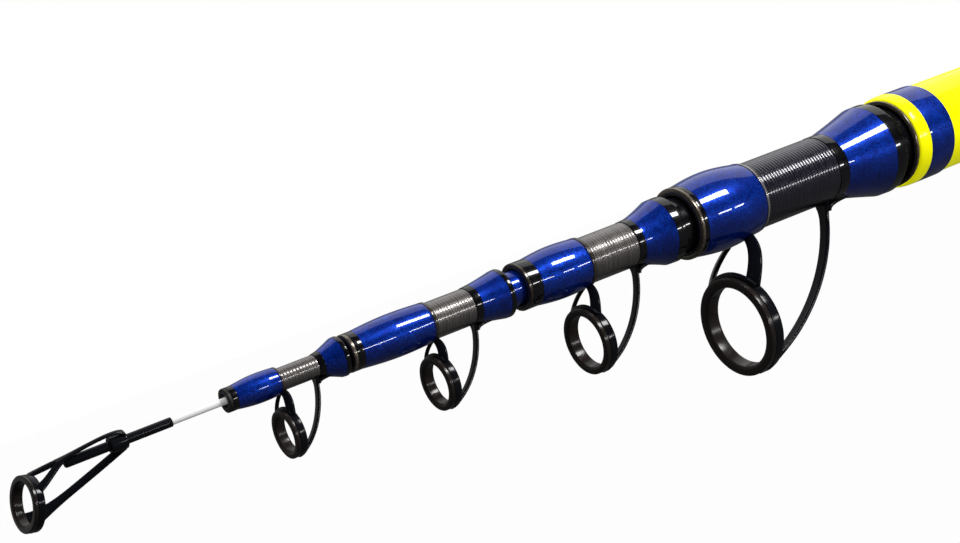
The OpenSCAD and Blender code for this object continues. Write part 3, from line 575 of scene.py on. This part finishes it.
def bar(path, across, width, thick, curl=None, edge=0.45, corners=24):
    """Flat bar along a path of points: its section is a squared-off ellipse, width along across
    and thick at right angles: w = |cos|^edge, t = |sin|^edge with the signs of both. A curl
    radius bends each section into an arc of that radius, towards its normal (or away below 0)."""
    tangent = np.gradient(path, axis=0)
    tangent /= np.linalg.norm(tangent, axis=1, keepdims=True)
    across = np.broadcast_to(across, path.shape)
    across = across - (across * tangent).sum(1, keepdims=True) * tangent
    across /= np.linalg.norm(across, axis=1, keepdims=True)
    normal = np.cross(tangent, across)
    a = np.linspace(0, 2 * np.pi, corners, endpoint=False)[None, :, None]
    half_w = np.broadcast_to(width, len(path))[:, None, None] / 2
    half_t = np.broadcast_to(thick, len(path))[:, None, None] / 2
    w = half_w * np.sign(np.cos(a)) * np.abs(np.cos(a)) ** edge
    t = half_t * np.sign(np.sin(a)) * np.abs(np.sin(a)) ** edge
    if curl is not None:
        t = t + np.sign(curl) * (abs(curl) - np.sqrt(np.maximum(curl ** 2 - w ** 2, 0)))
    points = (path[:, None] + w * across[:, None] + t * normal[:, None]).reshape(-1, 3)
    i, k = np.arange(len(path) - 1)[:, None] * corners, np.arange(corners)[None]
    next_k = (k + 1) % corners
    quads = np.stack([i + k, i + corners + k, i + corners + next_k, i + next_k], -1)
    caps = [list(range(corners)), list(range(len(points) - corners, len(points)))]
    return points, quads.reshape(-1, 4).tolist() + caps


def upright(line):
    """Curve in the guide's plane, from (station, height) to points in space."""
    return np.insert(line, 1, 0, axis=1)


flange_share, spigot_share, bore_round = 0.35, 0.55, 0.3


def insert_ring(x, r, hole, depth):
    """Outline of a ceramic ring: flat face at x, flange to r and spigot behind it. Two quarter
    circles round the bore, in the place of the outline's last two corners."""
    flange_x, spigot, c = x - flange_share * depth, hole + spigot_share * (r - hole), bore_round * (r - hole)
    q = np.radians(np.linspace(0, 90, 8))
    front = np.stack([x - c + c * np.cos(q), hole + c - c * np.sin(q)], -1)
    back = np.stack([x - depth + c - c * np.sin(q), hole + c - c * np.cos(q)], -1)
    outer = rounded([[x - depth, spigot], [flange_x, spigot], [flange_x, r], [x, r], [x, hole + c],
                     [x - depth, hole + c]], [0.1, 0.03, 0.12, 0.25, 0, 0], 5)
    return np.concatenate([outer[:-2], front, back])


def holder_ring(x, r, hole, depth):
    """Corners of the sheet ring round a ceramic ring's spigot, from its back to its flange."""
    inside, front = hole + spigot_share * (r - hole) + glue, x - flange_share * depth - glue
    return [[x - depth, inside], [x - depth, r], [front, r], [front, inside]]


ring_hole_r, ring_depth, sheet_t = [10.4, 6.45, 4.8, 4.0], [4.4, 3.5, 3.0, 2.7], [1.2, 1.0, 0.9, 0.85]
soft_edge = 0.8

# Rear leg: leg_out and leg_in are the handles of its curve as shares of run and rise. Apart from
# the flare's power, the single values are shares of the ring's, leg's, foot's or ramp's own sizes.
leg_w, leg_top = [3.2, 2.2, 1.9, 1.8], [41.3, 21.2, 14.9, 11.5]
leg_back, leg_sink, root_sink, root_flare = 0.6, 0.2, 0.3, 0.6
leg_out, leg_in = np.array([-0.49, 0.107]), np.array([0.068, -0.456])
flare_from, flare_len, flare_w, flare_power = 0.5, 0.3, 1.3, 3.5
ramp_h, ramp_len = [2.0, 1.7, 1.4, 1.2], [9.0, 6.5, 5.5, 4.5]
ramp_sink, ramp_rise, ramp_run, ramp_w, ramp_t = 0.8, 0.8, 0.6, 1.5, 1.3

# Front struts: strut_bow and the single values are shares of the ring's or the strut's own sizes,
# but bend_sink and end_drop are in mm. The sheet lies across sheet_back and sheet_side.
strut_y, strut_apex = [2.4, 1.0, 0.8, 0.7], [0.6, 0.6, 0.5, 0.5]
strut_lean, strut_bow, strut_w = [9.8, 4.5, 2.2, 1.7], [0.75, 0.64, 0.7, 0.72], [3.4, 2.3, 2.0, 1.9]
strut_back, bend_low, bend_sink, bend_up, bend_in = 0.55, 0.55, 0.4, 0.25, 0.36
hold_y, hold_z, tail_y, tail_drop = 0.64, 0.7, 0.6, 0.12
bow_low, bow_high, bow_close, end_y, end_drop = 0.33, 0.74, 0.8, 0.8, 0.2
strut_wide, strut_taper, sheet_back, sheet_side = 1.2, 0.45, -0.5, 0.87
saddle_half_degrees, saddle_r, saddle_w = 48, 0.98, 0.2

# Feet: tongues round the blank, under the collars. foot_thin is a share of the foot's thickness,
# rear_foot_w of the leg's width and rear_foot_most of the blank's radius.
foot_t, foot_thin, foot_lead = [0.7, 0.5, 0.45, 0.45], 0.6, 2.0
foot_lap, foot_inset, foot_tuck = 0.1, 2.0, 1.0
rear_foot_w, rear_foot_most = 1.1, 0.75


def foot(j, t, rear, front, half_share):
    """Tongue of sheet round tube j from rear to front, thinned at both ends. Half its width is a
    share of the tube's radius, the sine of half its arc."""
    rear_r, front_r = skin(j, rear), skin(j, front)
    outline = [[rear, rear_r + glue], [rear, rear_r + foot_thin * t], [rear + foot_lead, rear_r + t],
               [front - foot_lead, front_r + t], [front, front_r + foot_thin * t], [front, front_r + glue]]
    return turned(outline, 24, np.degrees(np.arcsin(half_share)))


for i, name in enumerate(sections):
    j = i + 1
    low, high = span(name + "_guide_ring")
    ring_x, ring_r, ring_z = high[0], high[1], (low[2] + high[2]) / 2
    depth, sheet = ring_depth[i], sheet_t[i]
    holder = ring(holder_ring(ring_x, ring_r, ring_hole_r[i], depth), [0.1, 0.6, 0.15, 0.05], 160,
                  drop=-ring_z)

    # Rear leg, flared and curled round the ring at its lower end, and the bend into its foot.
    start = np.array([ring_x - leg_back * depth, ring_z - ring_r + leg_sink * sheet])
    root_x = ring_x - leg_top[i]
    root = np.array([root_x, -skin(j, root_x) - root_sink * foot_t[i]])
    reach = np.array([start[0] - root[0], root[1] - start[1]])
    line = cubic(start, start + leg_out * reach, root + leg_in * reach, root, 60)
    near_ring = np.clip(1 - (ring_x - flare_from * depth - line[:, 0]) / (flare_len * leg_top[i]), 0, 1)
    last_tenth = np.clip(np.linspace(-9, 1, 60), 0, 1)
    spread = leg_w[i] * (1 + root_flare * last_tenth ** 2)
    spread = spread + (flare_w * ring_r - leg_w[i]) * near_ring ** flare_power
    leg = bar(upright(line), [0, 1, 0], spread, sheet, -ring_r)
    hang, merge_x = root - [0, wrap_t[i] + ramp_h[i]], root_x - ramp_len[i]
    merge = np.array([merge_x, -skin(j, merge_x) - ramp_sink * neck_t[i]])
    line = cubic(hang, hang + [0, ramp_rise * ramp_h[i]], merge + [ramp_run * ramp_len[i], 0], merge, 24)
    ramp = bar(upright(line), [0, 1, 0], ramp_w * leg_w[i], ramp_t * sheet, edge=soft_edge)

    # Front struts: side and height from one curve, the lean back to the foot from another.
    strut_x = ring_x - strut_back * depth
    foot_x = strut_x - strut_lean[i]
    foot_r = skin(j, foot_x)
    bend_a, bend_b = ring_z + bend_low * ring_r, -foot_r + bend_sink
    climb = bend_b - bend_a
    bend = cubic([strut_x, bend_a], [strut_x, bend_a + bend_up * climb],
                 [foot_x + bend_in * strut_lean[i], bend_b - bend_in * climb], [foot_x, bend_b], 60)
    hold = np.array([hold_y * ring_r, ring_z + hold_z * ring_r])
    apex = np.array([strut_y[i], -foot_r - strut_apex[i]])
    rise, bow = apex[1] - hold[1], strut_bow[i] * ring_r
    front = np.concatenate([
        [[tail_y * ring_r, hold[1] - tail_drop * ring_r]],
        cubic(hold, [bow, hold[1] + bow_low * rise], [bow_close * bow, hold[1] + bow_high * rise], apex, 40),
        [[end_y * strut_y[i], bend_b - end_drop]]])
    x = np.interp(front[:, 1], bend[:, 1], bend[:, 0])
    wide = strut_w[i] * (strut_wide - strut_taper * np.linspace(0, 1, len(x)) ** 2)
    struts = []
    for side in (-1, 1):
        path = np.stack([x, side * front[:, 0], front[:, 1]], -1)
        struts.append(bar(path, [sheet_back, sheet_side * side, 0], wide, sheet))
    arc = np.radians(np.linspace(-saddle_half_degrees, saddle_half_degrees, 32))[:, None]
    around = np.concatenate([0 * arc, np.sin(arc), np.cos(arc)], 1)
    saddle = bar(around * saddle_r * ring_r + [strut_x, 0, ring_z], around, saddle_w * ring_r, sheet)

    collar_front, stop_front = ends(name + "_front_collar")[1], ends(name + "_stop_rim")[1]
    feet = [foot(j, foot_t[i], foot_x - foot_lap, collar_front - foot_inset,
                 (strut_y[i] + strut_w[i] / 2) / foot_r),
            foot(j, foot_t[i], stop_front + foot_tuck, root_x + foot_tuck,
                 min(rear_foot_most, rear_foot_w * leg_w[i] / foot_r))]
    piece(name + "_guide_pressing", name, frame_black,
          [holder, leg, ramp, saddle] + struts + feet, [name + "_guide_frame"], 45)
    insert = turned(insert_ring(ring_x, ring_r, ring_hole_r[i], depth), 192, drop=-ring_z)
    piece(name + "_guide_insert", name, ceramic, [insert], [name + "_guide_ring"], 50)

# Tip: a solid fibre tip in white gloss. Its tip-top is a black tube glued over the thin end, with
# a collar, a rib that arches over the tube, two prongs and a flat brace that hold the last ring.

# The white lacquer's emission is painted light: a faint glow that keeps the tip white on its shaded side.
white = lacquer("white_lacquer", (0.93, 0.93, 0.93), (0.97, 0.97, 0.97), 3000, 150, (0.15, 0.3),
                {"Coat Weight": 1.0, "Coat Roughness": 0.03, "Emission Color": (1, 1, 1, 1),
                 "Emission Strength": 0.16})
tip = len(far) - 1
piece("tip_rod", "tip", white, [ring([
    [base_x, 0], [base_x, base_r[tip]], [base_x + jam_len, base_r[tip] - tapers[tip - 1] * jam_len],
    [tip_x, thin_r[tip]], [tip_x, 0]], [0, 0.2, 0, 0.1, 0], 64)], ["tip_blank"])
low, high = span("top_tube")
top_x, top_front, top_r = low[0], high[0], high[1]
end_gap = 0.1
bore_end = tip_x + end_gap
piece("tip_top_tube", "tip", frame_black, [ring([
    [top_x, skin(tip, top_x) + glue], [top_x, top_r], [top_front, top_r], [top_front, 0], [bore_end, 0],
    [bore_end, skin(tip, tip_x) + glue]], [0.02, 0.15, 0.5, 0, 0, 0.02], 72)], ["top_tube"])
top_turn, tilt = 36.6, 15.0
top_ring_r, top_hole_r, top_d, top_ring_low, top_ring_ahead = 5.9, 4.5, 2.4, 6.0, 9.7
collar_share, collar_len, collar_rise = 0.43, 3.8, 0.75
collar_x, collar_r = top_x + collar_share * (top_front - top_x), top_r + collar_rise
collar_end, top_ring_x = collar_x + collar_len, top_front + top_ring_ahead
on_face = {"tilt": tilt, "at": top_ring_x, "drop": top_ring_low}


def swung(shell):
    """Shell turned about the rod's axis into the tip-top's own plane."""
    c, s = np.cos(np.radians(-top_turn)), np.sin(np.radians(-top_turn))
    return shell[0] @ np.array([[1, 0, 0], [0, c, s], [0, -s, c]]), shell[1]


def on_ring(up, side, back):
    """Point of the tilted tip ring: height and side in its plane, and depth behind its face."""
    c, s = np.cos(np.radians(tilt)), np.sin(np.radians(tilt))
    return np.array([top_ring_x - up * s - back * c, side, -top_ring_low + up * c - back * s])


# The rib starts broad and thin on the collar, arches over the tube's front end and broadens
# again where it forks; the brace leaves the collar below and flares round the ring's lower edge.
along = np.linspace(0, 1, 40)
rib_start, rib_end = [collar_x + 0.2, 0, collar_r], [top_front + 1.6, 0, top_r - 0.1]
rib_rise, rib_fall = [collar_end - 2.0, 0, collar_r + 1.8], [collar_end + 3.5, 0, collar_r + 0.8]
rib_w, rib_t = 0.9 + 1.1 * along ** 8 + 1.4 * (1 - along) ** 6, 0.75 - 0.45 * (1 - along) ** 12
rib_line = cubic(rib_start, rib_rise, rib_fall, rib_end, 40)
rib = bar(rib_line, [0, 1, 0], rib_w, rib_t, edge=soft_edge)
seat_back = 0.7 * top_d
brace_start, brace_end = [collar_x + 0.4, 0, -collar_r + 0.3], on_ring(-0.95 * top_ring_r, 0, seat_back)
brace_out, brace_in = [collar_x + 4, 0, -collar_r - 1.6], brace_end + [-4.5, 0, 1.5]
brace_w, brace_t = 2.0 + 5.4 * np.clip(2.2 * along - 1.2, 0, 1) ** 2, 1.1
brace_line = cubic(brace_start, brace_out, brace_in, brace_end, 40)
brace = bar(brace_line, [0, 1, 0], brace_w, brace_t, top_ring_r, soft_edge)
collar = ring([[collar_x, top_r + glue], [collar_x, collar_r], [collar_end, collar_r],
               [collar_end, top_r + glue]], [0.02, 0.4, 0.4, 0.02], 72)
holder = ring(holder_ring(0, top_ring_r, top_hole_r, top_d), [0.1, 0.4, 0.1, 0.05], 128, **on_face)

# Two prongs run from the fork of the rib to the ring's upper edge, turning outwards on the way.
prong_w = 1.5 + 0.7 * along ** 6 - 0.7 * (1 - along) ** 6
prong_t = 1.05 - 0.5 * (1 - along) ** 4 - 0.3 * along ** 8
prongs = []
for side in (-1, 1):
    fork = np.array([top_front - 0.4, 0.15 * side, top_r + 0.05])
    seat = on_ring(0.85 * top_ring_r, 0.43 * top_ring_r * side, seat_back)
    prong = cubic(fork, fork + [2.2, 0.1 * side, -0.15], seat + [-2.6, -0.5 * side, 0.5], seat, 40)
    flat = np.stack([0 * along, 1 - 0.1 * along, -0.45 * side * along], -1)
    prongs.append(bar(prong, flat, prong_w, prong_t, edge=soft_edge))
piece("tip_top_pressing", "tip", frame_black,
      [swung(shell) for shell in [collar, rib, brace, holder] + prongs], ["top_frame"], 45)
insert = turned(insert_ring(0, top_ring_r, top_hole_r, top_d), 160, **on_face)
piece("tip_top_insert", "tip", ceramic, [swung(insert)], ["top_ring"], 50)

# Studio: a paper floor well below the rod that the camera sees as white, a softbox above, three
# low strips for the broken line of light along the tubes, and a broad fill from above.


def rays(tree):
    """Outputs that are 1 for camera rays, and for mirrored or refracted rays."""
    seen = add(tree, "LightPath", {}).outputs
    return seen["Is Camera Ray"], maths(tree, "MAXIMUM", seen["Is Glossy Ray"], seen["Is Transmission Ray"])


paper, tree, shader = finish("studio_paper", {"Base Color": (0.03, 0.03, 0.03, 1), "Roughness": 0.9})
paper_seen, paper_mirrored, paper_glow = 0.85, 0.02, 1.15
camera_ray, shiny_ray = rays(tree)
dimmed = maths(tree, "MULTIPLY", shiny_ray, paper_mirrored)
share = maths(tree, "MULTIPLY_ADD", camera_ray, paper_seen, dimmed)
glow = add(tree, "Emission", {"Color": (1, 1, 1, 1), "Strength": paper_glow})
mixed = add(tree, "MixShader", {0: share, 1: shader.outputs[0], 2: glow.outputs[0]})
tree.links.new(mixed.outputs[0], tree.nodes["Material Output"].inputs["Surface"])
floor_half, floor_z = 12.0, -0.32
floor_corners = [(-floor_half, -floor_half, floor_z), (floor_half, -floor_half, floor_z),
                 (floor_half, floor_half, floor_z), (-floor_half, floor_half, floor_z)]
floor_mesh = bpy.data.meshes.new("floor")
floor_mesh.from_pydata(floor_corners, [], [(0, 1, 2, 3)])
floor_mesh.materials.append(paper)
floor = bpy.data.objects.new("floor", floor_mesh)
bpy.context.scene.collection.objects.link(floor)

# The backdrop stands behind the rod, on -Y, and is dim in reflections; matt surfaces get a soft
# sky that is bright overhead and dark at the horizon, and the camera sees plain white.
world = bpy.data.worlds.new("studio")
bpy.context.scene.world = world
world.use_nodes = True
tree = world.node_tree
camera_ray, shiny_ray = rays(tree)
facing = add(tree, "TexCoord", {}).outputs["Generated"]
axes = add(tree, "SeparateXYZ", {"Vector": facing}).outputs
behind = ranged(tree, axes["Y"], 0.01, 0.25, start=-0.3, stop=-0.85)
sky = ranged(tree, axes["Z"], 0.03, 1.2, start=0.15, stop=0.85)
lit = add(tree, "Mix", {0: shiny_ray, 2: sky, 3: behind}, data_type="FLOAT").outputs[0]
strength = add(tree, "Mix", {0: camera_ray, 2: lit, 3: 1.0}, data_type="FLOAT").outputs[0]
tree.links.new(strength, tree.nodes["Background"].inputs["Strength"])
tree.nodes["Background"].inputs["Color"].default_value = (1, 1, 1, 1)

centre = np.array([0.76, 0.0, -0.01])


def posed(right, up, back, at):
    """Matrix of an object from its own three axes and its place, one in each column."""
    matrix = np.eye(4)
    matrix[:3] = np.stack([right, up, back, at], -1)
    return Matrix(matrix.tolist())


def softbox(name, toward, distance, size_x, size_y, watts):
    """Area lamp in a direction from the middle of the guides, facing it, its size_x side along the
    rod."""
    lamp = bpy.data.lights.new(name, "AREA")
    lamp.shape, lamp.size, lamp.size_y, lamp.energy = "RECTANGLE", size_x, size_y, watts
    made = bpy.data.objects.new(name, lamp)
    away = np.array(toward) / np.linalg.norm(toward)
    right = np.array([1, 0, 0]) - away[0] * away
    right /= np.linalg.norm(right)
    made.matrix_world = posed(right, np.cross(away, right), away, centre + away * distance)
    bpy.context.scene.collection.objects.link(made)


softbox("key_softbox", (-0.495, 0.67, 0.55), distance=0.75, size_x=0.21, size_y=0.16, watts=3.2)
for strip_x in (-0.76, -0.5, -0.24):
    softbox("low_strip", (strip_x, 0.84, -0.14), distance=0.8, size_x=0.12, size_y=0.04, watts=0.36)
softbox("top_fill", (-0.45, -0.3, 0.8), distance=1.1, size_x=1.6, size_y=1.0, watts=4.0)

# Camera: placed by the fit of the photograph's ring ellipses and tube outlines, in front of the
# rod on its +Y side, level with it and rolled, with a short telephoto lens.

azimuth, elevation, roll = np.radians([58.80, 1.516, -19.81])
from_mouth, to_side, above = 344.67, 347.24, 17.26
film_width, focal_length = 36.0, 65.57
eye = np.array([mouth_0 + from_mouth, to_side, above]) * mm
flat_back = np.array([np.cos(azimuth), np.sin(azimuth), 0])
back = flat_back * np.cos(elevation) + [0, 0, np.sin(elevation)]
level_right = np.cross([0, 0, 1], back)
level_right /= np.linalg.norm(level_right)
level_up = np.cross(back, level_right)
right = np.cos(roll) * level_right + np.sin(roll) * level_up
lens = bpy.data.cameras.new("camera")
lens.sensor_width, lens.lens = film_width, focal_length
lens.clip_start = 0.01
camera = bpy.data.objects.new("camera", lens)
bpy.context.scene.collection.objects.link(camera)
camera.matrix_world = posed(right, np.cross(back, right), back, eye)
bpy.context.scene.camera = camera
bpy.context.scene.view_settings.view_transform = "Standard"
